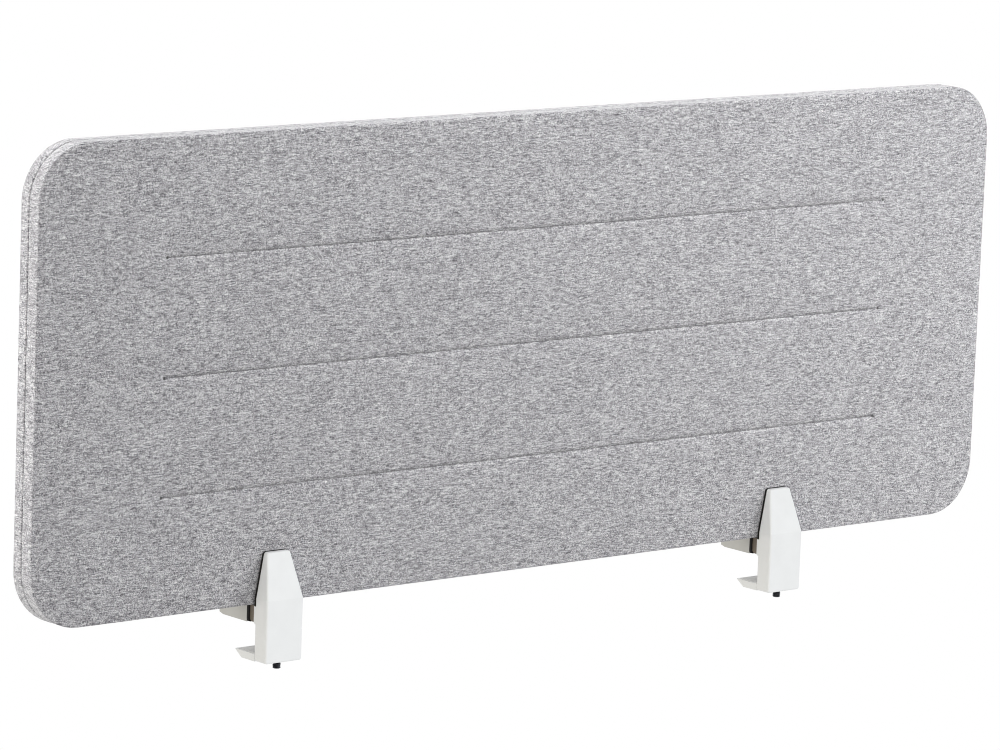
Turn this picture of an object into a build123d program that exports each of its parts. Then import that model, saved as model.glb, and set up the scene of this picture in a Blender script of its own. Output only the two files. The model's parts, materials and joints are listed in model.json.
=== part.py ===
"""Desk privacy panel: two padded, fabric-wrapped halves back to back, held on a desk edge by two clamps.

Frame, in millimetres: X runs along the panel, Y points away from the user, +Z is up. The origin is on
the desk top, halfway between the two clamps and a little behind the panel's front face. The user sits
on the -Y side.
"""

import os

from build123d import *

os.makedirs("parts", exist_ok=True)

# ---- driving dimensions of the panel ----
panel_width = 1200
panel_height = 450
panel_thickness = 30
front_half_thickness = 17  # to the middle of the seam, so that the front half is the thicker one
front_face = -13  # the panel's front face
panel_bottom = 19  # the panel's lower edge above the desk top
corner_radius = 55
seam_gap = 0.6  # open joint between the two halves, all round
fabric_thickness = 1.2
foam_thickness = 2.3
fabric_edge_radius = 2.5
return_flap = 36  # fabric turned over behind each board
quilt_length = 910
quilt_spacing = panel_height / 4  # the lines lie at a quarter, a half and three quarters
quilt_channel_width = 3
quilt_channel_depth = 0.6
thread_width = 0.8
thread_thickness = 0.5
tape_length = 340
tape_width = 30

# ---- driving dimensions of each clamp ----
clamp_centre = 321  # each clamp's distance from the panel's middle
clamp_width = 43
jaw_top_width = 27
jaw_corner_radius = 3
jaw_edge_radius = 2
spine_corner_radius = 2.5
jaw_top = 69  # height of the jaw's upper edge above the desk top
crease_height = 25  # the spine's front turns into the leaning jaw here
spine_bottom = -35.5
spine_front = -32.5
jaw_front_top = -20
pad_thickness = 2
pad_margin = 0.4  # the rubber shows this much round the jaw
ledge_thickness = 1.5  # rubber under the panel's lower edge
bulge_depth = 3  # the spine's step below the panel

# carriage channel, bearing web and pockets inside the spine
channel_width = 28
channel_front = -28.5
web_bottom = -3
web_thickness = 4
clip_pocket_width = 16
clip_pocket_height = 4.4
core_wall = 3

# desk jaw and its screw
desk_opening = 28
desk_jaw_tip = 16
desk_jaw_bevel_start = 7
desk_jaw_radius = 1.6
desk_pad_thickness = 1.5
desk_pad_width = 39
desk_pad_start = -13
desk_pad_end = 13
pad_recess = 1.0
carriage_height = 13
slide_gap = 0.2
desk_screw_radius = 4
desk_screw_root_radius = 3.3
desk_screw_pitch = 1.25
desk_screw_turns = 30
desk_screw_end = -43
desk_screw_shoulder = -4
desk_screw_top = 3.6
screw_chamfer = 0.8
screw_y = -21.5
journal_radius = 3
groove_radius = 2.5
groove_bottom = 1.1
groove_height = 0.7
clip_radius = 5.5
washer_radius = 6
running_gap = 0.05
free_gap = 0.3

# rear jaw, guide block and the screw that draws them together
foot_front = -1
foot_rear = 43
foot_underside = 0.6
foot_bevel_start = 36
foot_bevel_rise = 2
foot_rear_top = 16
shoulder_y = 33.5
shoulder_height = 23
foot_top = 18.5
rear_jaw_top_depth = 5
bumper_thickness = 2.7  # rubber on the foot's front
bumper_corner_radius = 3
foot_pad_width = 34
foot_pad_start = 3
foot_pad_end = 25
guide_rear = -4
guide_width = 40
guide_bottom = 1.5
guide_edge_radius = 4
tongue_centre = 9.2
tongue_width = 5.6
tongue_bottom = 4.2
tongue_height = 7.6
tongue_end = 20
tongue_pocket_end = 30
jaw_screw_height = 10
jaw_screw_radius = 2.5
jaw_screw_tip = -28
jaw_screw_seat = 31
jaw_screw_head_radius = 4.25
jaw_screw_head_height = 5
jaw_screw_recess_radius = 4.7
jaw_nut_width = 8
jaw_nut_front = -21
jaw_nut_back = -17
guide_screw_x = 16.5
guide_screw_radius = 1.5
guide_screw_length = 16.5
guide_screw_head_radius = 2.8
guide_screw_head_height = 2
guide_screw_recess_radius = 3
guide_screw_recess_depth = 2.2
pilot_depth = 11
socket_width = 4
socket_depth = 5

# ---- places worked out from them ----
rear_face = front_face + panel_thickness
seam_y = front_face + front_half_thickness
panel_middle = panel_bottom + panel_height / 2
jaw_back = front_face - pad_thickness
rear_jaw_front = rear_face + pad_thickness
bulge_back = jaw_back + bulge_depth
desk_jaw_top = -desk_opening
plate_top = desk_jaw_top - desk_pad_thickness + pad_recess
ledge_bottom = panel_bottom - ledge_thickness
web_top = web_bottom + web_thickness


def save(piece, name):
    """Name a finished piece and write it to its own file."""
    piece.part.label = name
    export_step(piece.part, f"parts/{name}.step")


def panel_plane(facing, distance):
    """A plane parallel to the panel, facing the front (-1) or the rear (+1), so far from the origin."""
    return Plane(
        origin=(0, facing * distance, panel_middle),
        x_dir=(-facing, 0, 0),
        z_dir=(0, facing, 0),
    )


def side_plane(x):
    """A plane across the clamp at x: its own X is the row's Y and its own Y is the row's Z."""
    return Plane(origin=(x, 0, 0), x_dir=(0, 1, 0), z_dir=(1, 0, 0))


def front_plane(x, y):
    """A plane facing the user at y, centred on a clamp: its own Y is the row's Z."""
    return Plane(origin=(x, y, 0), x_dir=(1, 0, 0), z_dir=(0, -1, 0))


def rear_plane(x, y):
    """A plane facing away from the user at y, centred on a clamp."""
    return Plane(origin=(x, y, 0), x_dir=(-1, 0, 0), z_dir=(0, 1, 0))


def panel_outline(inset):
    """The panel's rounded rectangle, drawn in by an inset."""
    RectangleRounded(panel_width - 2 * inset, panel_height - 2 * inset, corner_radius - inset)


def quilt_lines(length, width):
    """Three level slots, one on each quilting line."""
    with GridLocations(0, quilt_spacing, 1, 3):
        SlotOverall(length, width)


def jaw_outline(bottom, margin):
    """The jaw seen from the front: straight sides up to the crease, then a taper to the top."""
    half = clamp_width / 2 + margin
    half_top = jaw_top_width / 2 + margin
    with BuildLine() as outline:
        Polyline(
            (-half, bottom),
            (half, bottom),
            (half, crease_height),
            (half_top, jaw_top + margin),
            (-half_top, jaw_top + margin),
            (-half, crease_height),
            close=True,
        )
    make_face(outline.edges())


def is_crease(edge):
    """True for an edge on the level line where a jaw's leaning face meets its upright one."""
    return edge.length > jaw_top_width and abs(edge.center().Z - crease_height) < 3


def desk_screw_profile():
    """Half the desk screw's outline in the plane (Y, Z), with one V for each turn of thread."""
    points = [(screw_y, desk_screw_end), (screw_y + desk_screw_radius - screw_chamfer, desk_screw_end)]
    height = desk_screw_end + screw_chamfer
    for _ in range(desk_screw_turns):
        points.append((screw_y + desk_screw_radius, height))
        points.append((screw_y + desk_screw_root_radius, height + desk_screw_pitch / 2))
        height += desk_screw_pitch
    points += [
        (screw_y + desk_screw_radius, height),
        (screw_y + desk_screw_radius, desk_screw_shoulder),
        (screw_y + journal_radius, desk_screw_shoulder),
        (screw_y + journal_radius, groove_bottom),
        (screw_y + groove_radius, groove_bottom),
        (screw_y + groove_radius, groove_bottom + groove_height),
        (screw_y + journal_radius, groove_bottom + groove_height),
        (screw_y + journal_radius, desk_screw_top),
        (screw_y, desk_screw_top),
    ]
    return points


# ---- the panel's two halves: fabric cover, foam, board and quilting thread ----
for side, facing, outer_face in (("front", -1, -front_face), ("rear", 1, rear_face)):
    inner_face = facing * seam_y + seam_gap / 2
    board_inner = inner_face + fabric_thickness
    board_outer = outer_face - fabric_thickness - foam_thickness

    with BuildPart() as cover:
        with BuildSketch(panel_plane(facing, inner_face)):
            panel_outline(0)
        extrude(amount=outer_face - inner_face)
        fillet(cover.faces().sort_by(Axis.Y)[-1 if facing > 0 else 0].edges(), fabric_edge_radius)
        with BuildSketch(panel_plane(facing, board_inner)):
            panel_outline(fabric_thickness)
        extrude(amount=board_outer + foam_thickness - board_inner, mode=Mode.SUBTRACT)
        with BuildSketch(panel_plane(facing, inner_face)):
            panel_outline(return_flap)
        extrude(amount=fabric_thickness, mode=Mode.SUBTRACT)
        with BuildSketch(panel_plane(facing, outer_face)):
            quilt_lines(quilt_length + 2, quilt_channel_width)
        extrude(amount=-quilt_channel_depth, mode=Mode.SUBTRACT)
    save(cover, f"{side}_fabric_cover")

    with BuildPart() as foam:
        with BuildSketch(panel_plane(facing, board_outer)):
            panel_outline(fabric_thickness)
        extrude(amount=foam_thickness)
    save(foam, f"{side}_foam_sheet")

    with BuildPart() as board:
        with BuildSketch(panel_plane(facing, board_inner)):
            panel_outline(fabric_thickness)
        extrude(amount=board_outer - board_inner)
    save(board, f"{side}_core_board")

    with BuildPart() as thread:
        with BuildSketch(panel_plane(facing, outer_face - quilt_channel_depth)):
            quilt_lines(quilt_length, thread_width)
        extrude(amount=thread_thickness)
    save(thread, f"{side}_quilting_thread")

# strips of double-sided tape bridge the window inside the return flaps and hold the halves together
with BuildPart() as tape:
    with BuildSketch(panel_plane(1, seam_y - seam_gap / 2 - fabric_thickness)):
        with GridLocations(tape_length + 20, panel_height / 3, 3, 2):
            Rectangle(tape_length, tape_width)
    extrude(amount=seam_gap + 2 * fabric_thickness)
save(tape, "joining_tape")

# ---- the two clamps ----
for side, x in (("left", -clamp_centre), ("right", clamp_centre)):
    # hollow inside the jaw, a wall's thickness in from its outline and its leaning front
    core_bottom = crease_height + core_wall
    core_top = jaw_top - 2 * core_wall
    with BuildPart() as jaw_core:
        with BuildSketch(side_plane(x)):
            with BuildLine():
                Polyline(
                    (jaw_back, core_bottom),
                    (spine_front + 1.5 * core_wall, core_bottom),
                    (jaw_front_top + core_wall / 2, core_top),
                    (jaw_back, core_top),
                    close=True,
                )
            make_face()
        extrude(amount=clamp_width / 2, both=True)
        with BuildSketch(front_plane(x, jaw_back)):
            jaw_outline(spine_bottom, -core_wall)
        extrude(amount=clamp_width, mode=Mode.INTERSECT)

    with BuildPart() as front_jaw:
        with BuildSketch(side_plane(x)):
            with BuildLine():
                Polyline(
                    (jaw_back, spine_bottom),
                    (jaw_back, 0),
                    (bulge_back, bulge_depth / 2),
                    (bulge_back, ledge_bottom),
                    (jaw_back, ledge_bottom),
                    (jaw_back, jaw_top),
                    (jaw_front_top, jaw_top),
                    (spine_front, crease_height),
                    (spine_front, spine_bottom),
                    close=True,
                )
            make_face()
        extrude(amount=clamp_width / 2, both=True)
        with BuildSketch(front_plane(x, bulge_back)):
            jaw_outline(spine_bottom, 0)
        extrude(amount=clamp_width, mode=Mode.INTERSECT)
        fillet(front_jaw.edges().filter_by(Axis.Y).group_by(Axis.Z)[-1], jaw_corner_radius)
        fillet(front_jaw.edges().filter_by(Axis.Y).group_by(Axis.Z)[0], spine_corner_radius)
        front_faces = front_jaw.faces().filter_by(lambda f: f.normal_at().Y < -0.9)
        fillet(front_faces.edges(), jaw_edge_radius)
        add(jaw_core.part, mode=Mode.SUBTRACT)
        # channel for the carriage, open below and behind
        with BuildSketch(Plane.XY.offset(spine_bottom)):
            with Locations((x, (channel_front + jaw_back) / 2)):
                Rectangle(channel_width, jaw_back - channel_front)
        extrude(amount=web_bottom - spine_bottom, mode=Mode.SUBTRACT)
        # pocket above the bearing web for the retaining clip, open behind
        with BuildSketch(Plane.XY.offset(web_top)):
            with Locations((x, (channel_front + bulge_back) / 2)):
                Rectangle(clip_pocket_width, bulge_back - channel_front)
        extrude(amount=clip_pocket_height, mode=Mode.SUBTRACT)
        # slot for the square nut, which goes up through the clip pocket
        with BuildSketch(Plane.XY.offset(web_top)):
            with Locations((x, (jaw_nut_front + jaw_nut_back) / 2)):
                Rectangle(jaw_nut_width, jaw_nut_back - jaw_nut_front)
        extrude(amount=jaw_screw_height + jaw_nut_width / 2 - web_top, mode=Mode.SUBTRACT)
        # journal hole through the web
        with BuildSketch(Plane.XY.offset(web_bottom)):
            with Locations((x, screw_y)):
                Circle(journal_radius + running_gap)
        extrude(amount=web_thickness, mode=Mode.SUBTRACT)
        # bore for the jaw screw, through the nut's slot and beyond it
        with BuildSketch(rear_plane(x, bulge_back)):
            with Locations((0, jaw_screw_height)):
                Circle(jaw_screw_radius + free_gap)
        extrude(amount=jaw_screw_tip - 1 - bulge_back, mode=Mode.SUBTRACT)
        # pilot holes for the guide block's screws
        with BuildSketch(rear_plane(x, bulge_back)):
            with Locations((-guide_screw_x, jaw_screw_height), (guide_screw_x, jaw_screw_height)):
                Circle(guide_screw_radius)
        extrude(amount=-pilot_depth, mode=Mode.SUBTRACT)
    save(front_jaw, f"{side}_front_jaw")

    # rubber leaf between the jaw and the panel, with a ledge that the panel stands on
    with BuildPart() as front_pad:
        with BuildSketch(front_plane(x, front_face)) as leaf:
            jaw_outline(ledge_bottom, pad_margin)
            fillet(leaf.vertices().group_by(Axis.Y)[-1], jaw_corner_radius + pad_margin)
        extrude(amount=pad_thickness)
        with BuildSketch(Plane.XY.offset(ledge_bottom)):
            with Locations((x, (jaw_back + guide_rear) / 2)):
                Rectangle(guide_width, guide_rear - jaw_back)
        extrude(amount=ledge_thickness)
    save(front_pad, f"{side}_front_pad")

    # block behind the spine, under the ledge, with two tongues that guide the rear jaw
    with BuildPart() as guide_block:
        with BuildSketch(side_plane(x)) as block_profile:
            with Locations(((bulge_back + guide_rear) / 2, (guide_bottom + ledge_bottom) / 2)):
                Rectangle(guide_rear - bulge_back, ledge_bottom - guide_bottom)
            fillet(block_profile.vertices().group_by(Axis.Y)[0].sort_by(Axis.X)[-1], guide_edge_radius)
        extrude(amount=guide_width / 2, both=True)
        with BuildSketch(rear_plane(x, guide_rear)):
            with GridLocations(2 * tongue_centre, 0, 2, 1):
                with Locations((0, tongue_bottom + tongue_height / 2)):
                    Rectangle(tongue_width, tongue_height)
        extrude(amount=tongue_end - guide_rear)
        with BuildSketch(rear_plane(x, guide_rear)):
            with Locations((0, jaw_screw_height)):
                Circle(jaw_screw_radius + free_gap)
            with Locations((-guide_screw_x, jaw_screw_height), (guide_screw_x, jaw_screw_height)):
                Circle(guide_screw_radius)
        extrude(amount=bulge_back - guide_rear, mode=Mode.SUBTRACT)
        with BuildSketch(rear_plane(x, guide_rear)):
            with Locations((-guide_screw_x, jaw_screw_height), (guide_screw_x, jaw_screw_height)):
                Circle(guide_screw_recess_radius)
        extrude(amount=-guide_screw_recess_depth, mode=Mode.SUBTRACT)
    save(guide_block, f"{side}_guide_block")

    # two screws hold the guide block to the spine
    with BuildPart() as guide_screws:
        with BuildSketch(rear_plane(x, guide_rear - guide_screw_recess_depth)):
            with Locations((-guide_screw_x, jaw_screw_height), (guide_screw_x, jaw_screw_height)):
                Circle(guide_screw_radius)
        extrude(amount=-guide_screw_length)
        with BuildSketch(rear_plane(x, guide_rear - guide_screw_recess_depth)):
            with Locations((-guide_screw_x, jaw_screw_height), (guide_screw_x, jaw_screw_height)):
                Circle(guide_screw_head_radius)
        extrude(amount=guide_screw_head_height)
    save(guide_screws, f"{side}_guide_screws")

    with BuildPart() as jaw_nut:
        with BuildSketch(rear_plane(x, jaw_nut_back)):
            with Locations((0, jaw_screw_height)):
                Rectangle(jaw_nut_width, jaw_nut_width)
                Circle(jaw_screw_radius + running_gap, mode=Mode.SUBTRACT)
        extrude(amount=jaw_nut_front - jaw_nut_back)
    save(jaw_nut, f"{side}_jaw_nut")

    with BuildPart() as thrust_washer:
        with BuildSketch(Plane.XY.offset(desk_screw_shoulder)):
            with Locations((x, screw_y)):
                Circle(washer_radius)
                Circle(journal_radius + running_gap, mode=Mode.SUBTRACT)
        extrude(amount=web_bottom - desk_screw_shoulder)
    save(thrust_washer, f"{side}_thrust_washer")

    # rear jaw: the foot on the desk and the jaw behind the panel are one casting
    with BuildPart() as rear_jaw:
        with BuildSketch(side_plane(x)):
            with BuildLine():
                Polyline(
                    (foot_front, foot_underside),
                    (foot_bevel_start, foot_underside),
                    (foot_rear, foot_underside + foot_bevel_rise),
                    (foot_rear, foot_rear_top),
                    (shoulder_y, shoulder_height),
                    (rear_jaw_front + rear_jaw_top_depth, jaw_top),
                    (rear_jaw_front, jaw_top),
                    (rear_jaw_front, foot_top),
                    (foot_front, foot_top),
                    close=True,
                )
            make_face()
        extrude(amount=clamp_width / 2, both=True)
        with BuildSketch(rear_plane(x, foot_front)):
            jaw_outline(foot_underside, 0)
        extrude(amount=foot_rear - foot_front, mode=Mode.INTERSECT)
        fillet(rear_jaw.edges().filter_by(Axis.Y).group_by(Axis.Z)[-1], jaw_corner_radius)
        rear_faces = rear_jaw.faces().filter_by(lambda f: f.normal_at().Y > 0.4)
        rear_edges = rear_faces.edges().filter_by(lambda e: not is_crease(e))
        fillet(rear_edges, jaw_edge_radius)
        with BuildSketch(rear_plane(x, foot_front)):
            with Locations((0, jaw_screw_height)):
                Circle(jaw_screw_radius + running_gap)
        extrude(amount=foot_rear - foot_front, mode=Mode.SUBTRACT)
        with BuildSketch(rear_plane(x, jaw_screw_seat)):
            with Locations((0, jaw_screw_height)):
                Circle(jaw_screw_recess_radius)
        extrude(amount=foot_rear - jaw_screw_seat, mode=Mode.SUBTRACT)
        with BuildSketch(rear_plane(x, foot_front)):
            with GridLocations(2 * tongue_centre, 0, 2, 1):
                with Locations((0, tongue_bottom + tongue_height / 2)):
                    Rectangle(tongue_width + 2 * slide_gap, tongue_height + 2 * slide_gap)
        extrude(amount=tongue_pocket_end - foot_front, mode=Mode.SUBTRACT)
        with BuildSketch(Plane.XY.offset(foot_underside)):
            with Locations((x, (foot_pad_start + foot_pad_end) / 2)):
                Rectangle(foot_pad_width, foot_pad_end - foot_pad_start)
        extrude(amount=pad_recess, mode=Mode.SUBTRACT)
    save(rear_jaw, f"{side}_rear_jaw")

    with BuildPart() as rear_pad:
        with BuildSketch(rear_plane(x, rear_face)) as leaf:
            jaw_outline(panel_bottom + 1, pad_margin)
            fillet(leaf.vertices().group_by(Axis.Y)[-1], jaw_corner_radius + pad_margin)
        extrude(amount=pad_thickness)
    save(rear_pad, f"{side}_rear_pad")

    # rubber on the foot's front, which closes against the guide block
    with BuildPart() as foot_bumper:
        with BuildSketch(front_plane(x, foot_front)) as bumper_outline:
            with Locations((0, (foot_underside + foot_top) / 2)):
                Rectangle(clamp_width, foot_top - foot_underside)
            fillet(bumper_outline.vertices().group_by(Axis.Y)[0], bumper_corner_radius)
        extrude(amount=bumper_thickness)
        with BuildSketch(front_plane(x, foot_front)):
            with Locations((0, jaw_screw_height)):
                Circle(jaw_screw_radius + free_gap)
            with GridLocations(2 * tongue_centre, 0, 2, 1):
                with Locations((0, tongue_bottom + tongue_height / 2)):
                    Rectangle(tongue_width + 2 * slide_gap, tongue_height + 2 * slide_gap)
        extrude(amount=bumper_thickness, mode=Mode.SUBTRACT)
    save(foot_bumper, f"{side}_foot_bumper")

    with BuildPart() as foot_pad:
        with BuildSketch(Plane.XY):
            with Locations((x, (foot_pad_start + foot_pad_end) / 2)):
                Rectangle(foot_pad_width, foot_pad_end - foot_pad_start)
        extrude(amount=foot_underside + pad_recess)
    save(foot_pad, f"{side}_foot_pad")

    # socket-head screw from the back of the foot to the nut in the spine
    with BuildPart() as jaw_screw:
        with BuildSketch(rear_plane(x, jaw_screw_tip)):
            with Locations((0, jaw_screw_height)):
                Circle(jaw_screw_radius)
        extrude(amount=jaw_screw_seat - jaw_screw_tip)
        chamfer(jaw_screw.faces().sort_by(Axis.Y)[0].edges(), screw_chamfer)
        with BuildSketch(rear_plane(x, jaw_screw_seat)):
            with Locations((0, jaw_screw_height)):
                Circle(jaw_screw_head_radius)
        extrude(amount=jaw_screw_head_height)
        with BuildSketch(rear_plane(x, jaw_screw_seat + jaw_screw_head_height)):
            with Locations((0, jaw_screw_height)):
                RegularPolygon(socket_width / 2, 6, major_radius=False)
        extrude(amount=-jaw_screw_head_height / 2, mode=Mode.SUBTRACT)
    save(jaw_screw, f"{side}_jaw_screw")

    # desk jaw: the plate under the desk and the tapped carriage in the spine's channel
    with BuildPart() as desk_jaw:
        with BuildSketch(side_plane(x)):
            with BuildLine():
                Polyline(
                    (jaw_back + slide_gap, spine_bottom),
                    (desk_jaw_bevel_start, spine_bottom),
                    (desk_jaw_tip, plate_top - pad_recess),
                    (desk_jaw_tip, plate_top),
                    (jaw_back + slide_gap, plate_top),
                    close=True,
                )
            make_face()
        extrude(amount=clamp_width / 2, both=True)
        tip_edges = desk_jaw.edges().filter_by(lambda e: e.center().Y > desk_jaw_bevel_start + 1)
        fillet(tip_edges.filter_by(lambda e: abs(e.center().X - x) > clamp_width / 3), desk_jaw_radius)
        with BuildSketch(Plane.XY.offset(spine_bottom)):
            with Locations((x, (channel_front + jaw_back) / 2 + slide_gap)):
                Rectangle(channel_width - 2 * slide_gap, jaw_back - channel_front)
        extrude(amount=carriage_height)
        with BuildSketch(Plane.XY.offset(spine_bottom)):
            with Locations((x, screw_y)):
                Circle(desk_screw_radius + running_gap)
        extrude(amount=carriage_height, mode=Mode.SUBTRACT)
        with BuildSketch(Plane.XY.offset(plate_top)):
            with Locations((x, (desk_pad_start + desk_pad_end) / 2)):
                Rectangle(desk_pad_width, desk_pad_end - desk_pad_start)
        extrude(amount=-pad_recess, mode=Mode.SUBTRACT)
    save(desk_jaw, f"{side}_desk_jaw")

    with BuildPart() as desk_jaw_pad:
        with BuildSketch(Plane.XY.offset(desk_jaw_top)):
            with Locations((x, (desk_pad_start + desk_pad_end) / 2)):
                Rectangle(desk_pad_width, desk_pad_end - desk_pad_start)
        extrude(amount=-desk_pad_thickness)
    save(desk_jaw_pad, f"{side}_desk_jaw_pad")

    # desk screw: it stays at one height in the spine and lifts the desk jaw as it turns
    with BuildPart() as desk_screw:
        with BuildSketch(side_plane(x)):
            with BuildLine():
                Polyline(*desk_screw_profile(), close=True)
            make_face()
        revolve(axis=Axis((x, screw_y, 0), (0, 0, 1)))
        with BuildSketch(Plane.XY.offset(desk_screw_end)):
            with Locations((x, screw_y)):
                RegularPolygon(socket_width / 2, 6, major_radius=False)
        extrude(amount=socket_depth, mode=Mode.SUBTRACT)
    save(desk_screw, f"{side}_desk_screw")

    # open ring in the groove above the bearing web
    with BuildPart() as retaining_clip:
        with BuildSketch(Plane.XY.offset(groove_bottom)):
            with Locations((x, screw_y)):
                Circle(clip_radius)
                Circle(groove_radius, mode=Mode.SUBTRACT)
            with Locations((x, screw_y + clip_radius)):
                Rectangle(2 * groove_radius - 1, 2 * clip_radius, mode=Mode.SUBTRACT)
        extrude(amount=groove_height)
    save(retaining_clip, f"{side}_retaining_clip")
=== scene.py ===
"""Looks of the desk privacy panel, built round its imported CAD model. Metres throughout."""

import json
import math
import random

import bmesh
import bpy
import numpy as np
from mathutils import Matrix, Vector, noise


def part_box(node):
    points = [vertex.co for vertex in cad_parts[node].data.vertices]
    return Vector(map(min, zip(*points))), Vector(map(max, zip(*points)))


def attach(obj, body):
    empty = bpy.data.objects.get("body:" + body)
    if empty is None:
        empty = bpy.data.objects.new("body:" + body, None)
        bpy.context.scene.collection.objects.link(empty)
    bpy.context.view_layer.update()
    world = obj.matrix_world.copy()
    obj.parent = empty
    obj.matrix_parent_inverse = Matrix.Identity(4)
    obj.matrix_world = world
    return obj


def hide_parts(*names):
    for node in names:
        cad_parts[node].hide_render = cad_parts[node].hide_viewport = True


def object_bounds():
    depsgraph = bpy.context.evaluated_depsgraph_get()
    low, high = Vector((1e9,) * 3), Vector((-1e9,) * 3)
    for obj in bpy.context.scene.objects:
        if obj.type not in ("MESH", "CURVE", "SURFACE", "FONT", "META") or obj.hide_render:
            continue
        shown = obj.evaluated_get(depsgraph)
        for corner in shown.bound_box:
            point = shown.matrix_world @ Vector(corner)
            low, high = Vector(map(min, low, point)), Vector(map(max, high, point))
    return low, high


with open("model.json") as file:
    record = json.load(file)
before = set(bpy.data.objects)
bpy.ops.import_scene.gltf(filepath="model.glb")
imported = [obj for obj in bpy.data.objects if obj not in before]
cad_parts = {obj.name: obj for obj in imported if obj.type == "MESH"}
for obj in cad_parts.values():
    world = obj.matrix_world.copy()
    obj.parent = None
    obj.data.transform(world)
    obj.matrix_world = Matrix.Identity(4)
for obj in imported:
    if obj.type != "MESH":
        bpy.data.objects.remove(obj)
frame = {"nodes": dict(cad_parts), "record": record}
nodes = frame["nodes"]
cad_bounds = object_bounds()

MM = 0.001

# ---- the panel, read from the frame, and the cloth's own sizes ----
cover_low, cover_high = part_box("front_fabric_cover")
PANEL_WIDTH = cover_high.x - cover_low.x
PANEL_HEIGHT = cover_high.z - cover_low.z
PANEL_MIDDLE = (cover_high.z + cover_low.z) / 2
CORNER_RADIUS = 55 * MM
EDGE_RADIUS = 1.8 * MM  # cloth turning over the board's edge
SEAM_RADIUS = 1.8 * MM  # cloth turning in at the joint between the halves
RETURN_FLAP = 36 * MM
FLAP_TURN = 5 * MM  # from the outline to where the flap lies flat
FACE_WAVE = 0.08 * MM
EDGE_ROUGHNESS = 0.10 * MM
CORNER_GATHER = 0.30 * MM
CORNER_TUCK = 0.25 * MM

# ---- quilting ----
thread_low, thread_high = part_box("front_quilting_thread")
LINE_HALF = (thread_high.x - thread_low.x) / 2
LINE_HEIGHTS = [-PANEL_HEIGHT / 4, 0.0, PANEL_HEIGHT / 4]
VALLEY_DEPTH = 1.4 * MM
VALLEY_HALF_WIDTH = 1.6 * MM
SHOULDER_DEPTH = 0.6 * MM  # the cloth rounds down towards each line
SHOULDER_REACH = 4 * MM
STITCH_PITCH = 6.5 * MM
STITCH_GAP = 1.2 * MM
STITCH_RADIUS = 0.28 * MM
STITCH_BOW = 0.25 * MM
STITCH_SWAY_MM = 0.15
STITCH_SIDES = 6
STITCH_RINGS = 6
LINE_REACH = 24 * MM  # beyond this a line leaves the cloth alone
LINE_END_FADE = 5 * MM
CREASE_DEPTH = 0.16 * MM
CREASE_REACH = 7 * MM
TACK_RADIUS = 1.6 * MM
TACK_DEPTH = 0.2 * MM
TACK_HALF_HEIGHT = 1.6 * MM
TACK_STEP = 0.5 * MM
TACK_STITCHES = 4

# ---- the cloth's swell over its foam ----
SWELL = 0.9 * MM  # the most that the quilted fields stand proud of the edge and the lines
SWELL_PERCENTILE = 75  # the simulated height that is brought to about three quarters of SWELL
SHEET_STEP = 7.5 * MM
SHEET_SCALE = 10  # the sheet is simulated larger than life
SHEET_CROWN = 6 * MM  # starting height of the free cloth, at the sheet's larger scale
SHEET_UNEVENNESS = 3 * MM
SHEET_PRESSURE = 1.5
SHEET_FRAMES = 20

# ---- weave ----
YARN = 0.80 * MM

# ======================= camera =======================
CAMERA_AIM = Vector((-0.0403, 0.0, 0.2122))
CAMERA_DISTANCE = 5.29
CAMERA_TURN = 40.13  # degrees to the left of square on
CAMERA_ELEVATION = 9.64
CAMERA_ROLL = 2.15
CAMERA_LENS = 195.7


def add_camera():
    data = bpy.data.cameras.new("camera")
    data.lens = CAMERA_LENS
    data.sensor_width = 36
    data.clip_end = 200
    camera = bpy.data.objects.new("camera", data)
    bpy.context.scene.collection.objects.link(camera)
    camera.matrix_world = (
        Matrix.Translation(CAMERA_AIM)
        @ Matrix.Rotation(math.radians(-CAMERA_TURN), 4, "Z")
        @ Matrix.Rotation(math.radians(90 - CAMERA_ELEVATION), 4, "X")
        @ Matrix.Rotation(math.radians(CAMERA_ROLL), 4, "Z")
        @ Matrix.Translation(Vector((0, 0, CAMERA_DISTANCE)))
    )
    bpy.context.scene.camera = camera


add_camera()


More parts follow.
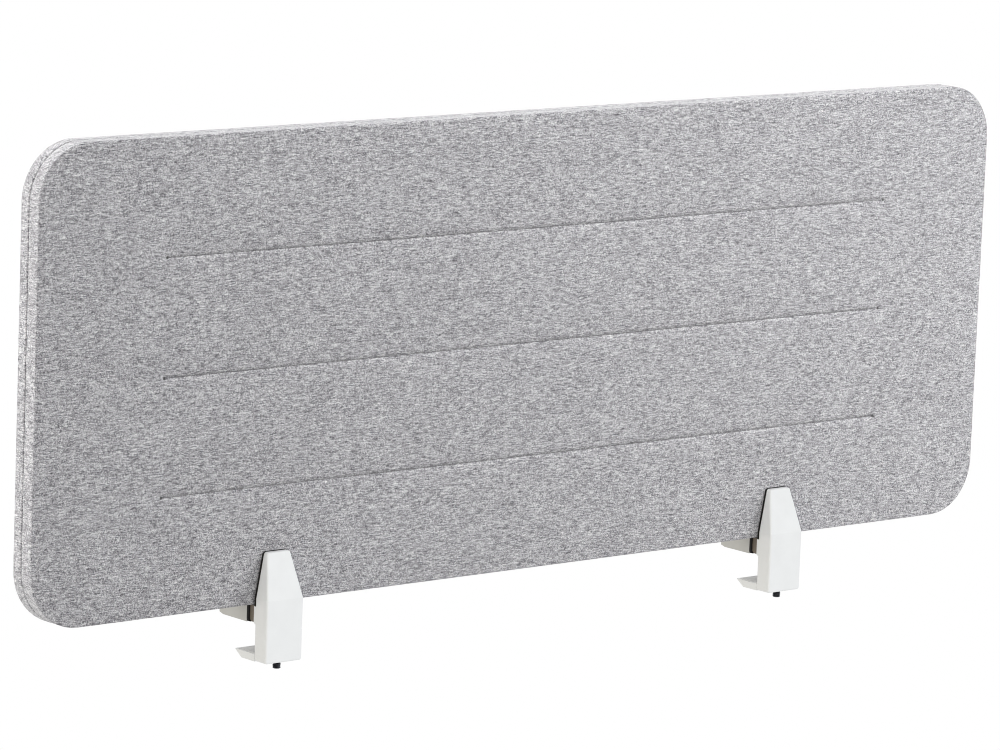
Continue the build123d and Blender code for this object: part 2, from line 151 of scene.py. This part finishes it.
# ======================= node graphs =======================
class Graph:
    """A short way to write a material's nodes."""

    def __init__(self, name):
        self.material = bpy.data.materials.new(name)
        self.material.use_nodes = True
        self.tree = self.material.node_tree
        self.tree.nodes.clear()
        self.output = self.tree.nodes.new("ShaderNodeOutputMaterial")

    def node(self, kind, settings=None, **inputs):
        made = self.tree.nodes.new("ShaderNode" + kind)
        for key, value in (settings or {}).items():
            setattr(made, key, value)
        for key, value in inputs.items():
            self.put(made.inputs[key.replace("_", " ")], value)
        return made

    def put(self, socket, value):
        if isinstance(value, bpy.types.NodeSocket):
            self.tree.links.new(value, socket)
        else:
            socket.default_value = value

    def math(self, operation, a, b=0.0):
        made = self.tree.nodes.new("ShaderNodeMath")
        made.operation = operation
        self.put(made.inputs[0], a)
        self.put(made.inputs[1], b)
        return made.outputs[0]

    def combine(self, x, y, z=0.0):
        return self.node("CombineXYZ", X=x, Y=y, Z=z).outputs[0]

    def noise(self, vector, scale, detail=2.0, roughness=0.5):
        return self.node(
            "TexNoise", Vector=vector, Scale=scale, Detail=detail, Roughness=roughness
        ).outputs["Fac"]

    def streaks(self, x, x_scale, y, y_scale, offset, roughness):
        """Noise stretched differently along x and y; the offset keeps one set off another."""
        x = self.math("MULTIPLY", x, x_scale)
        y = self.math("MULTIPLY", y, y_scale)
        return self.noise(self.combine(x, y, offset), 1.0, 2.0, roughness)

    def span(self, value, low, high, to_low, to_high):
        return self.node(
            "MapRange",
            Value=value,
            **{"From_Min": low, "From_Max": high, "To_Min": to_low, "To_Max": to_high},
        ).outputs[0]

    def ramp(self, value, stops):
        made = self.node("ValToRGB", Fac=value)
        elements = made.color_ramp.elements
        while len(elements) < len(stops):
            elements.new(0.5)
        for element, (place, colour) in zip(elements, stops):
            element.position = place
            element.color = (*colour, 1)
        return made.outputs["Color"]

    def bump(self, height, strength, distance, normal=None):
        made = self.node("Bump", Height=height, Strength=strength, Distance=distance)
        if normal is not None:
            self.put(made.inputs["Normal"], normal)
        return made.outputs[0]

    def finish(self, **inputs):
        shader = self.node("BsdfPrincipled", **inputs)
        self.tree.links.new(shader.outputs[0], self.output.inputs["Surface"])
        return self.material


def grey(value, blue=0.0, red=0.0):
    """A grey with a share more (or less) blue and red in it."""
    return (value * (1 + red), value, value * (1 + blue))


def cloth_material():
    """Melange weave: dark and light flecks along the weft, fainter ones along the warp."""
    g = Graph("melange_cloth")
    cloth = g.node("UVMap", {"uv_map": "cloth"}).outputs[0]
    wander = g.noise(cloth, 45.0, 2.0)
    wander = g.math("MULTIPLY", g.math("SUBTRACT", wander, 0.5), 1.4 * MM)
    parts = g.node("SeparateXYZ", Vector=cloth)
    along = parts.outputs[0]
    across = g.math("ADD", parts.outputs[1], wander)

    weft_place = g.math("DIVIDE", across, YARN)
    weft_row = g.math("FLOOR", weft_place)
    warp_place = g.math("DIVIDE", along, YARN)
    warp_row = g.math("FLOOR", warp_place)

    weft_long = g.streaks(along, 120.0, weft_row, 5.31, 0.0, 0.5)
    weft_short = g.streaks(along, 700.0, weft_row, 9.17, 20.0, 0.55)
    warp_long = g.streaks(warp_row, 7.77, across, 230.0, 40.0, 0.6)
    slub = g.streaks(along, 60.0, across, 520.0, 9.0, 0.55)
    patch = g.noise(cloth, 24.0, 3.0, 0.55)

    tone = g.math("MULTIPLY", weft_long, 0.34)
    tone = g.math("ADD", tone, g.math("MULTIPLY", weft_short, 0.46))
    tone = g.math("ADD", tone, g.math("MULTIPLY", warp_long, 0.18))
    tone = g.math("ADD", tone, g.math("MULTIPLY", patch, 0.02))
    colour = g.ramp(
        tone,
        [
            (0.355, grey(0.02, 0.30, 0.06)),
            (0.437, grey(0.105, 0.11, 0.03)),
            (0.50, grey(0.238, 0.05, 0.01)),
            (0.563, grey(0.395, 0.03, 0.0)),
            (0.645, grey(0.58, 0.0, 0.01)),
        ],
    )

    weft_round = g.math("ABSOLUTE", g.math("SINE", g.math("MULTIPLY", weft_place, math.pi)))
    warp_round = g.math("ABSOLUTE", g.math("SINE", g.math("MULTIPLY", warp_place, math.pi)))
    over = g.math("MODULO", g.math("ABSOLUTE", g.math("ADD", weft_row, warp_row)), 2.0)
    warp_share = g.math("MULTIPLY", over, warp_round)
    weft_share = g.math("MULTIPLY", g.math("SUBTRACT", 1.0, over), weft_round)
    height = g.math("ADD", warp_share, weft_share)
    height = g.math("ADD", height, g.math("MULTIPLY", slub, 0.8))
    normal = g.bump(height, 0.35, 0.25 * MM)
    roughness = g.span(tone, 0.35, 0.65, 0.95, 0.82)
    return g.finish(
        Base_Color=colour,
        Roughness=roughness,
        Normal=normal,
        Sheen_Weight=0.25,
        Sheen_Roughness=0.6,
        Specular_IOR_Level=0.25,
    )


def thread_material():
    g = Graph("quilting_thread")
    place = g.node("TexCoord").outputs["Object"]
    diagonal = {"bands_direction": "DIAGONAL"}
    wave = g.node("TexWave", diagonal, Vector=place, Scale=900.0, Distortion=0.4)
    twist = wave.outputs["Fac"]
    # The colour darkens in the twist's grooves: painted shade between the plies, on top of the bump
    # from the same twist.
    colour = g.ramp(twist, [(0.0, grey(0.05, 0.03)), (1.0, grey(0.13, 0.02))])
    normal = g.bump(twist, 0.4, 0.1 * MM)
    return g.finish(Base_Color=colour, Roughness=0.7, Normal=normal, Sheen_Weight=0.2)


def painted_material(name, value, blue, red):
    """Powder coat on a zinc casting: fine orange peel and softened edges."""
    g = Graph(name)
    place = g.node("TexCoord").outputs["Object"]
    mottle = g.noise(place, 60.0, 3.0)
    peel = g.noise(place, 1400.0, 2.0, 0.6)
    base = g.ramp(mottle, [(0.3, grey(value * 0.97, blue, red)), (0.7, grey(value, blue, red))])
    soft = g.node("Bevel", {"samples": 4}, Radius=0.5 * MM).outputs[0]
    roughness = g.span(g.noise(place, 220.0, 3.0), 0.3, 0.7, 0.34, 0.46)
    return g.finish(
        Base_Color=base,
        Roughness=roughness,
        Normal=g.bump(peel, 0.12, 0.08 * MM, soft),
        Specular_IOR_Level=0.45,
    )


def rubber_material(name, value, bloom):
    """Moulded rubber with a patchy bloom, a number of times lighter than the rubber itself."""
    g = Graph(name)
    place = g.node("TexCoord").outputs["Object"]
    dust = g.noise(place, 90.0, 4.0, 0.6)
    grain = g.noise(place, 2200.0, 2.0, 0.7)
    colour = g.ramp(dust, [(0.35, grey(value)), (0.75, grey(value * bloom))])
    roughness = g.span(grain, 0.2, 0.8, 0.62, 0.85)
    return g.finish(
        Base_Color=colour,
        Roughness=roughness,
        Normal=g.bump(grain, 0.3, 0.1 * MM),
        Specular_IOR_Level=0.35,
    )


def plastic_material():
    g = Graph("glass_filled_nylon")
    place = g.node("TexCoord").outputs["Object"]
    grain = g.noise(place, 1600.0, 3.0, 0.6)
    flow = g.noise(place, 70.0, 3.0)
    colour = g.ramp(flow, [(0.3, (0.150, 0.122, 0.095)), (0.7, (0.200, 0.168, 0.135))])
    roughness = g.span(grain, 0.2, 0.8, 0.42, 0.6)
    return g.finish(Base_Color=colour, Roughness=roughness, Normal=g.bump(grain, 0.25, 0.1 * MM))


def metal_material(name, dark, light, rough):
    g = Graph(name)
    place = g.node("TexCoord").outputs["Object"]
    stain = g.noise(place, 300.0, 4.0, 0.6)
    drawn_out = g.node("Mapping", Vector=place, Scale=(900, 900, 120)).outputs[0]
    scratch = g.node("TexNoise", Vector=drawn_out, Scale=1.0, Detail=3.0)
    colour = g.ramp(stain, [(0.3, dark), (0.7, light)])
    roughness = g.span(stain, 0.3, 0.7, rough, rough + 0.15)
    return g.finish(
        Base_Color=colour,
        Metallic=1.0,
        Roughness=roughness,
        Normal=g.bump(scratch.outputs["Fac"], 0.2, 0.05 * MM),
    )


def board_material():
    g = Graph("raw_fibreboard")
    place = g.node("TexCoord").outputs["Object"]
    fibre = g.noise(place, 700.0, 4.0, 0.7)
    colour = g.ramp(fibre, [(0.3, (0.20, 0.13, 0.07)), (0.7, (0.40, 0.28, 0.17))])
    return g.finish(Base_Color=colour, Roughness=0.85, Normal=g.bump(fibre, 0.3, 0.1 * MM))


def foam_material(name, dark, light):
    g = Graph(name)
    place = g.node("TexCoord").outputs["Object"]
    cells = g.node("TexVoronoi", Vector=place, Scale=1200.0).outputs["Distance"]
    # The colour darkens in the pits at the cells' middles: painted shade, on top of the bump from the
    # same cells.
    colour = g.ramp(cells, [(0.1, dark), (0.6, light)])
    return g.finish(Base_Color=colour, Roughness=0.9, Normal=g.bump(cells, 0.4, 0.1 * MM))


# ======================= the padded, fabric-wrapped halves =======================
def spread(low, high, step):
    """Evenly spaced values from low to high, no further apart than step."""
    count = max(1, math.ceil((high - low) / step - 1e-9))
    return [low + (high - low) * i / count for i in range(count + 1)]


def merge(*lists):
    """One rising list without values that nearly coincide."""
    made = []
    for value in sorted(v for values in lists for v in values):
        if not made or value - made[-1] > 0.3 * MM:
            made.append(value)
    return made


def row_heights():
    """The face grid's rows: close together at the quilting lines, by angle round the corners."""
    straight = PANEL_HEIGHT / 2 - CORNER_RADIUS
    fine = [h + d * 0.8 * MM for h in LINE_HEIGHTS for d in range(-9, 10)]
    coarse = [
        v
        for v in spread(-straight, straight, 6 * MM)
        if min(abs(v - h) for h in LINE_HEIGHTS) > 9 * MM
    ]
    bend = CORNER_RADIUS - EDGE_RADIUS
    arc = [straight + bend * math.sin(math.radians(a)) for a in range(5, 91, 5)]
    return merge([-v for v in arc], coarse, fine, arc)


def column_shares():
    """The face grid's columns as shares of the half width, close together at the lines' ends."""
    half = PANEL_WIDTH / 2 - EDGE_RADIUS
    fine = [s * (LINE_HALF + d * MM) for s in (-1, 1) for d in range(-8, 9)]
    coarse = [v for v in spread(-half, half, 5 * MM) if abs(abs(v) - LINE_HALF) > 9 * MM]
    return [v / half for v in merge(coarse, fine)]


def half_width(height):
    """The face's half width at a height from its middle, inside the turned edge."""
    straight = PANEL_HEIGHT / 2 - CORNER_RADIUS
    bend = CORNER_RADIUS - EDGE_RADIUS
    rise = max(0.0, abs(height) - straight)
    return PANEL_WIDTH / 2 - CORNER_RADIUS + math.sqrt(max(0.0, bend**2 - rise**2))


def outward(x, height):
    """The panel outline's outward direction next to a border point of the face."""
    corner_x = PANEL_WIDTH / 2 - CORNER_RADIUS
    corner_z = PANEL_HEIGHT / 2 - CORNER_RADIUS
    way = Vector((max(0.0, abs(x) - corner_x), max(0.0, abs(height) - corner_z)))
    if abs(x) <= corner_x:
        way = Vector((0.0, 1.0))
    if abs(height) <= corner_z and abs(x) > corner_x:
        way = Vector((1.0, 0.0))
    way.normalize()
    return Vector((math.copysign(way.x, x), math.copysign(way.y, height)))


def is_held(x, height):
    """True where the cloth is glued down at the panel's edge or sewn down on a quilting line."""
    corner_x = max(0.0, abs(x) - (PANEL_WIDTH / 2 - CORNER_RADIUS))
    corner_z = max(0.0, abs(height) - (PANEL_HEIGHT / 2 - CORNER_RADIUS))
    at_edge = math.hypot(corner_x, corner_z) > CORNER_RADIUS - SHEET_STEP / 2
    on_line = any(abs(height - line) < SHEET_STEP / 4 for line in LINE_HEIGHTS)
    return at_edge or (on_line and abs(x) <= LINE_HALF + SHEET_STEP / 4)


def swollen_sheet(seed):
    """Heights on a grid of the face's cloth, held at its edge and lines and pressed outward.

    The simulated heights are larger than the real ones, so they are brought down to SWELL.
    """
    columns = round(PANEL_WIDTH / SHEET_STEP)
    rows = round(PANEL_HEIGHT / SHEET_STEP)
    places = [
        (-PANEL_WIDTH / 2 + c * SHEET_STEP, -PANEL_HEIGHT / 2 + r * SHEET_STEP)
        for r in range(rows + 1)
        for c in range(columns + 1)
    ]
    vertices = []
    for x, z in places:
        crown = 0.0 if is_held(x, z) else SHEET_CROWN
        crown += SHEET_UNEVENNESS * noise.noise(Vector((x * 25, z * 60, seed)))
        vertices.append((x * SHEET_SCALE, z * SHEET_SCALE, crown))
    wide = columns + 1
    quads = [
        (r * wide + c, r * wide + c + 1, (r + 1) * wide + c + 1, (r + 1) * wide + c)
        for r in range(rows)
        for c in range(columns)
    ]
    mesh = bpy.data.meshes.new("sheet")
    mesh.from_pydata(vertices, [], quads)
    sheet = bpy.data.objects.new("sheet", mesh)
    bpy.context.scene.collection.objects.link(sheet)
    held = sheet.vertex_groups.new(name="held")
    held.add([i for i, place in enumerate(places) if is_held(*place)], 1.0, "REPLACE")

    cloth = sheet.modifiers.new("cloth", "CLOTH")
    cloth.settings.quality = 6
    cloth.settings.mass = 0.3
    cloth.settings.tension_stiffness = 20
    cloth.settings.compression_stiffness = 8
    cloth.settings.shear_stiffness = 6
    cloth.settings.bending_stiffness = 1.5
    cloth.settings.shrink_min = -0.0004
    cloth.settings.vertex_group_mass = "held"
    cloth.settings.use_pressure = True
    cloth.settings.uniform_pressure_force = SHEET_PRESSURE
    cloth.settings.effector_weights.gravity = 0
    cloth.point_cache.frame_end = SHEET_FRAMES
    scene = bpy.context.scene
    for step in range(1, SHEET_FRAMES + 1):
        scene.frame_set(step)
    shaped = sheet.evaluated_get(bpy.context.evaluated_depsgraph_get()).to_mesh()
    heights = np.empty(len(vertices) * 3)
    shaped.vertices.foreach_get("co", heights)
    heights = heights.reshape(rows + 1, columns + 1, 3)[:, :, 2] / SHEET_SCALE
    scene.frame_set(1)
    bpy.data.objects.remove(sheet)
    bpy.data.meshes.remove(mesh)
    usual = np.percentile(heights, SWELL_PERCENTILE)
    return SWELL * np.tanh(np.maximum(heights, 0) / usual)


def height_on(sheet, x, height):
    """The swollen sheet's height at a place on the face, between its grid points."""
    across = (x + PANEL_WIDTH / 2) / SHEET_STEP
    up = (height + PANEL_HEIGHT / 2) / SHEET_STEP
    c = min(max(int(across), 0), sheet.shape[1] - 2)
    r = min(max(int(up), 0), sheet.shape[0] - 2)
    u = across - c
    v = up - r
    low = sheet[r, c] * (1 - u) + sheet[r, c + 1] * u
    high = sheet[r + 1, c] * (1 - u) + sheet[r + 1, c + 1] * u
    return low * (1 - v) + high * v


def face_relief(x, height, seed, sheet):
    """How far the cloth stands out from the plain face: swell, valleys, puckers and tacks."""
    relief = height_on(sheet, x, height) - SWELL
    relief += FACE_WAVE * noise.noise(Vector((x * 9, height * 9, seed)))
    for line in LINE_HEIGHTS:
        drop = height - line
        if abs(drop) > LINE_REACH:
            continue
        beyond = max(0.0, abs(x) - LINE_HALF)
        pucker = noise.noise(Vector((x * 160, line * 50, seed)))
        stitch = 0.5 + 0.5 * math.cos(2 * math.pi * x / STITCH_PITCH)
        depth = VALLEY_DEPTH * (0.86 + 0.08 * stitch + 0.12 * pucker)
        wall = math.hypot(drop, beyond * 1.2) / VALLEY_HALF_WIDTH
        relief -= depth * math.exp(-(wall**1.5))
        ending = math.exp(-beyond / LINE_END_FADE)
        relief -= SHOULDER_DEPTH * math.exp(-abs(drop) / SHOULDER_REACH) * ending
        fade = math.exp(-abs(drop) / CREASE_REACH) * ending
        crease = noise.noise(Vector((x * 110, drop * 30, seed + 7)))
        relief += CREASE_DEPTH * crease * fade * min(1.0, abs(drop) / (2 * MM))
        tack = math.hypot(drop, abs(x) - LINE_HALF) / TACK_RADIUS
        relief -= TACK_DEPTH * math.exp(-(tack**2))
    return relief


def edge_profile(thickness):
    """(how far out from the face's border, how deep behind the face) for each turn of the edge."""
    steps = []
    for a in range(15, 91, 15):
        turn = math.radians(a)
        steps.append((EDGE_RADIUS * math.sin(turn), EDGE_RADIUS * (1 - math.cos(turn))))
    for depth in spread(EDGE_RADIUS, thickness - SEAM_RADIUS, 1.8 * MM)[1:]:
        steps.append((EDGE_RADIUS, depth))
    for a in range(22, 91, 17):
        turn = math.radians(a)
        out = EDGE_RADIUS - SEAM_RADIUS * (1 - math.cos(turn))
        steps.append((out, thickness - SEAM_RADIUS * (1 - math.sin(turn))))
    steps.append((EDGE_RADIUS - FLAP_TURN, thickness))
    steps.append((EDGE_RADIUS - RETURN_FLAP, thickness))
    return steps


def fabric_half(name, facing, seed, face_y, thickness):
    """One half of the panel as a closed form: padded face, turned edge and flat inner side."""
    rows = row_heights()
    shares = column_shares()
    sheet = swollen_sheet(seed)
    mesh = bpy.data.meshes.new(name)
    form = bmesh.new()
    cloth = {}

    def put(x, height, out, at_x, at_height):
        vertex = form.verts.new((x, face_y + facing * out, PANEL_MIDDLE + height))
        cloth[vertex] = (facing * -at_x + seed, at_height)
        return vertex

    grid = []
    for height in rows:
        row = []
        for share in shares:
            x = share * half_width(height)
            row.append(put(x, height, face_relief(x, height, seed, sheet), x, height))
        grid.append(row)
    quads = [
        (grid[r][c], grid[r][c + 1], grid[r + 1][c + 1], grid[r + 1][c])
        for r in range(len(rows) - 1)
        for c in range(len(shares) - 1)
    ]

    border = [(0, c) for c in range(len(shares))]
    border += [(r, len(shares) - 1) for r in range(1, len(rows))]
    border += [(len(rows) - 1, c) for c in range(len(shares) - 2, -1, -1)]
    border += [(r, 0) for r in range(len(rows) - 2, 0, -1)]
    ring = [grid[r][c] for r, c in border]
    places = [(shares[c] * half_width(rows[r]), rows[r]) for r, c in border]
    ways = [outward(x, height) for x, height in places]
    run = 0.0
    last = (0.0, 0.0)
    for out, depth in edge_profile(thickness):
        run += math.hypot(out - last[0], depth - last[1])
        last = (out, depth)
        loop = []
        for (x, height), way in zip(places, ways):
            rough = noise.noise(Vector((x * 55, height * 55, seed + depth * 90)))
            bend = min(abs(way.x), abs(way.y)) * 2
            gather = noise.noise(Vector((x * 260, height * 260, seed + 3))) * bend
            deep = depth / thickness
            swell = EDGE_ROUGHNESS * rough + CORNER_GATHER * gather * deep - CORNER_TUCK * bend * deep
            if out < 0:
                swell = 0.0
            loop.append(
                put(
                    x + way.x * (out + swell),
                    height + way.y * (out + swell),
                    -max(depth, SWELL + 0.4 * depth),
                    x + way.x * run,
                    height + way.y * run,
                )
            )
        count = len(ring)
        for i in range(count):
            after = (i + 1) % count
            quads.append((ring[i], loop[i], loop[after], ring[after]))
        ring = loop
    faces = [form.faces.new(quad) for quad in quads]
    faces.append(form.faces.new(ring))
    bmesh.ops.recalc_face_normals(form, faces=form.faces)
    layer = form.loops.layers.uv.new("cloth")
    for face in form.faces:
        face.smooth = True
        for loop in face.loops:
            loop[layer].uv = cloth[loop.vert]
    form.to_mesh(mesh)
    form.free()
    piece = bpy.data.objects.new(name, mesh)
    bpy.context.scene.collection.objects.link(piece)
    return piece


# ======================= quilting stitches =======================
def add_stitch(form, start, end, facing):
    """One stitch: a short bowed capsule of thread from start to end."""
    along_x = abs(end.x - start.x) > abs(end.z - start.z)
    rings = []
    for i in range(STITCH_RINGS):
        t = i / (STITCH_RINGS - 1)
        centre = start.lerp(end, t)
        swell = math.sin(math.pi * (0.12 + 0.76 * t))
        centre.y += facing * STITCH_BOW * swell
        radius = STITCH_RADIUS * (0.55 + 0.45 * swell)
        ring = []
        for k in range(STITCH_SIDES):
            turn = 2 * math.pi * k / STITCH_SIDES
            if along_x:
                offset = Vector((0, math.cos(turn), math.sin(turn))) * radius
            else:
                offset = Vector((math.cos(turn), math.sin(turn), 0)) * radius
            ring.append(form.verts.new(centre + offset))
        rings.append(ring)
    for a, b in zip(rings, rings[1:]):
        for k in range(STITCH_SIDES):
            after = (k + 1) % STITCH_SIDES
            form.faces.new((a[k], a[after], b[after], b[k]))
    form.faces.new(rings[0][::-1])
    form.faces.new(rings[-1])


def stitching(name, facing, seed, face_y):
    """The thread of the three quilting lines, with a short tack across each end."""
    draw = random.Random(seed)
    form = bmesh.new()
    floor = face_y - facing * (SWELL + SHOULDER_DEPTH + VALLEY_DEPTH * 0.86)
    tack_floor = face_y - facing * (SWELL + SHOULDER_DEPTH + TACK_DEPTH + VALLEY_DEPTH * 0.2)
    for line in LINE_HEIGHTS:
        count = int(2 * LINE_HALF / STITCH_PITCH)
        for i in range(count):
            start = -LINE_HALF + i * STITCH_PITCH + STITCH_GAP / 2
            stop = start + STITCH_PITCH - STITCH_GAP
            sway = draw.uniform(-STITCH_SWAY_MM, STITCH_SWAY_MM) * MM
            add_stitch(
                form,
                Vector((start, floor, PANEL_MIDDLE + line + sway)),
                Vector((stop, floor, PANEL_MIDDLE + line - sway)),
                facing,
            )
        for end in (-1, 1):
            for step in range(TACK_STITCHES):
                x = end * (LINE_HALF - step * TACK_STEP)
                bottom = Vector((x, tack_floor, PANEL_MIDDLE + line - TACK_HALF_HEIGHT))
                top = Vector((x, tack_floor, PANEL_MIDDLE + line + TACK_HALF_HEIGHT))
                add_stitch(form, bottom, top, facing)
    bmesh.ops.recalc_face_normals(form, faces=form.faces)
    mesh = bpy.data.meshes.new(name)
    form.to_mesh(mesh)
    form.free()
    for polygon in mesh.polygons:
        polygon.use_smooth = True
    piece = bpy.data.objects.new(name, mesh)
    bpy.context.scene.collection.objects.link(piece)
    return piece


cloth_finish = cloth_material()
thread_finish = thread_material()
fabric_pieces = []
for side, facing, seed in (("front", -1, 1.0), ("rear", 1, 5.0)):
    low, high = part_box(f"{side}_fabric_cover")
    face_y = high.y if facing > 0 else low.y
    half = fabric_half(f"{side}_padded_half", facing, seed, face_y, high.y - low.y)
    half.data.materials.append(cloth_finish)
    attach(half, "panel")
    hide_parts(f"{side}_fabric_cover", f"{side}_foam_sheet")
    fabric_pieces.append(half)

    thread = stitching(f"{side}_stitches", facing, int(seed), face_y)
    thread.data.materials.append(thread_finish)
    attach(thread, "panel")
    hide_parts(f"{side}_quilting_thread")


# ======================= finishes of the CAD nodes =======================
finishes = {
    "white_casting": painted_material("white_powder_coat", 0.885, 0.012, -0.018),
    # The rear jaw is the white coat darkened to a grey: painted shade for the shadow that the panel
    # casts on it.
    "grey_casting": painted_material("white_powder_coat_painted_shade", 0.60, -0.03, 0.0),
    "black_rubber": rubber_material("black_rubber", 0.008, 1.9),
    "grey_rubber": rubber_material("grey_rubber", 0.72, 1.1),
    "dark_plastic": plastic_material(),
    "zinc_steel": metal_material("zinc_plated_steel", (0.42, 0.42, 0.40), (0.62, 0.62, 0.60), 0.3),
    "spring_steel": metal_material("spring_steel", (0.10, 0.10, 0.10), (0.2, 0.2, 0.19), 0.35),
    "black_steel": metal_material(
        "black_oxide_steel", (0.05, 0.053, 0.060), (0.15, 0.155, 0.170), 0.28
    ),
    "fibreboard": board_material(),
    "foam": foam_material("foam", (0.50, 0.48, 0.42), (0.72, 0.70, 0.64)),
    "adhesive_tape": foam_material("foam_tape", (0.60, 0.60, 0.57), (0.80, 0.80, 0.77)),
    "melange_fabric": cloth_finish,
    "grey_thread": thread_finish,
}
slots = {part["node"]: part["material_slot"] for part in frame["record"]["subparts"]}
for name, node in nodes.items():
    node.data.materials.clear()
    node.data.materials.append(finishes[slots[name]])


# ======================= studio =======================
def add_area(name, place, target, size, power):
    data = bpy.data.lights.new(name, "AREA")
    data.shape = "SQUARE"
    data.size = size
    data.energy = power
    light = bpy.data.objects.new(name, data)
    bpy.context.scene.collection.objects.link(light)
    light.location = place
    light.rotation_euler = (Vector(target) - Vector(place)).to_track_quat("-Z", "Y").to_euler()
    return light


def add_world(above, below):
    """A white dome, dimmer below the horizon and a little warmer on the left."""
    world = bpy.data.worlds.new("studio")
    world.use_nodes = True
    tree = world.node_tree
    background = tree.nodes["Background"]
    way = tree.nodes.new("ShaderNodeTexCoord")
    parts = tree.nodes.new("ShaderNodeSeparateXYZ")
    tree.links.new(way.outputs["Generated"], parts.inputs[0])
    shade = tree.nodes.new("ShaderNodeMapRange")
    shade.inputs["From Min"].default_value = -0.15
    shade.inputs["From Max"].default_value = 0.5
    shade.inputs["To Min"].default_value = below
    shade.inputs["To Max"].default_value = above
    tree.links.new(parts.outputs[2], shade.inputs["Value"])
    tree.links.new(shade.outputs[0], background.inputs["Strength"])
    warmth = tree.nodes.new("ShaderNodeValToRGB")
    warmth.color_ramp.elements[0].color = (1.01, 0.96, 0.86, 1)
    warmth.color_ramp.elements[1].color = (0.99, 1.0, 1.01, 1)
    warmth.color_ramp.elements[1].position = 0.75
    across = tree.nodes.new("ShaderNodeMapRange")
    across.inputs["From Min"].default_value = -1.0
    across.inputs["From Max"].default_value = 0.2
    tree.links.new(parts.outputs[0], across.inputs["Value"])
    tree.links.new(across.outputs[0], warmth.inputs["Fac"])
    tree.links.new(warmth.outputs["Color"], background.inputs["Color"])
    bpy.context.scene.world = world


def add_floor():
    """A wide pale floor that lights nothing, so that the object stands out on plain white."""
    mesh = bpy.data.meshes.new("studio_floor")
    reach = 60.0
    drop = cad_bounds[0].z - 0.02
    corners = [(x * reach, y * reach, drop) for x, y in ((-1, -1), (1, -1), (1, 1), (-1, 1))]
    mesh.from_pydata(corners, [], [(0, 1, 2, 3)])
    floor = bpy.data.objects.new("studio_floor", mesh)
    bpy.context.scene.collection.objects.link(floor)
    material = bpy.data.materials.new("studio_white")
    material.use_nodes = True
    tree = material.node_tree
    tree.nodes.clear()
    glow = tree.nodes.new("ShaderNodeEmission")
    glow.inputs["Color"].default_value = (1, 1, 1, 1)
    glow.inputs["Strength"].default_value = 1.0
    output = tree.nodes.new("ShaderNodeOutputMaterial")
    tree.links.new(glow.outputs[0], output.inputs["Surface"])
    mesh.materials.append(material)
    floor.visible_diffuse = False
    floor.visible_glossy = False
    floor.visible_shadow = False


# The dome and the fill reach everything; the four lights after them reach the cloth only.
add_world(0.98, 0.80)
add_area("fill", (0.6, -4.0, 0.8), (0, 0, 0.2), 1.5, 18)
fabric_lights = [
    add_area("key", (1.6, -1.4, 0.9), (0.3, 0, 0.2), 1.0, 33),
    add_area("rim", (-1.1, 0.5, 1.9), (-0.3, 0, 0.4), 0.8, 14),
    add_area("rake", (0.4, -0.7, 2.4), (0.1, 0, 0.2), 0.4, 34),
    add_area("side", (-2.6, 0.35, 0.45), (-0.6, 0, 0.25), 1.0, 54),
]
fabric_only = bpy.data.collections.new("fabric_only")
for piece in fabric_pieces:
    fabric_only.objects.link(piece)
for light in fabric_lights:
    light.light_linking.receiver_collection = fabric_only
add_floor()
bpy.context.scene.view_settings.view_transform = "Standard"
bpy.context.scene.cycles.use_denoising = True
bpy.context.scene.cycles.filter_width = 1.0
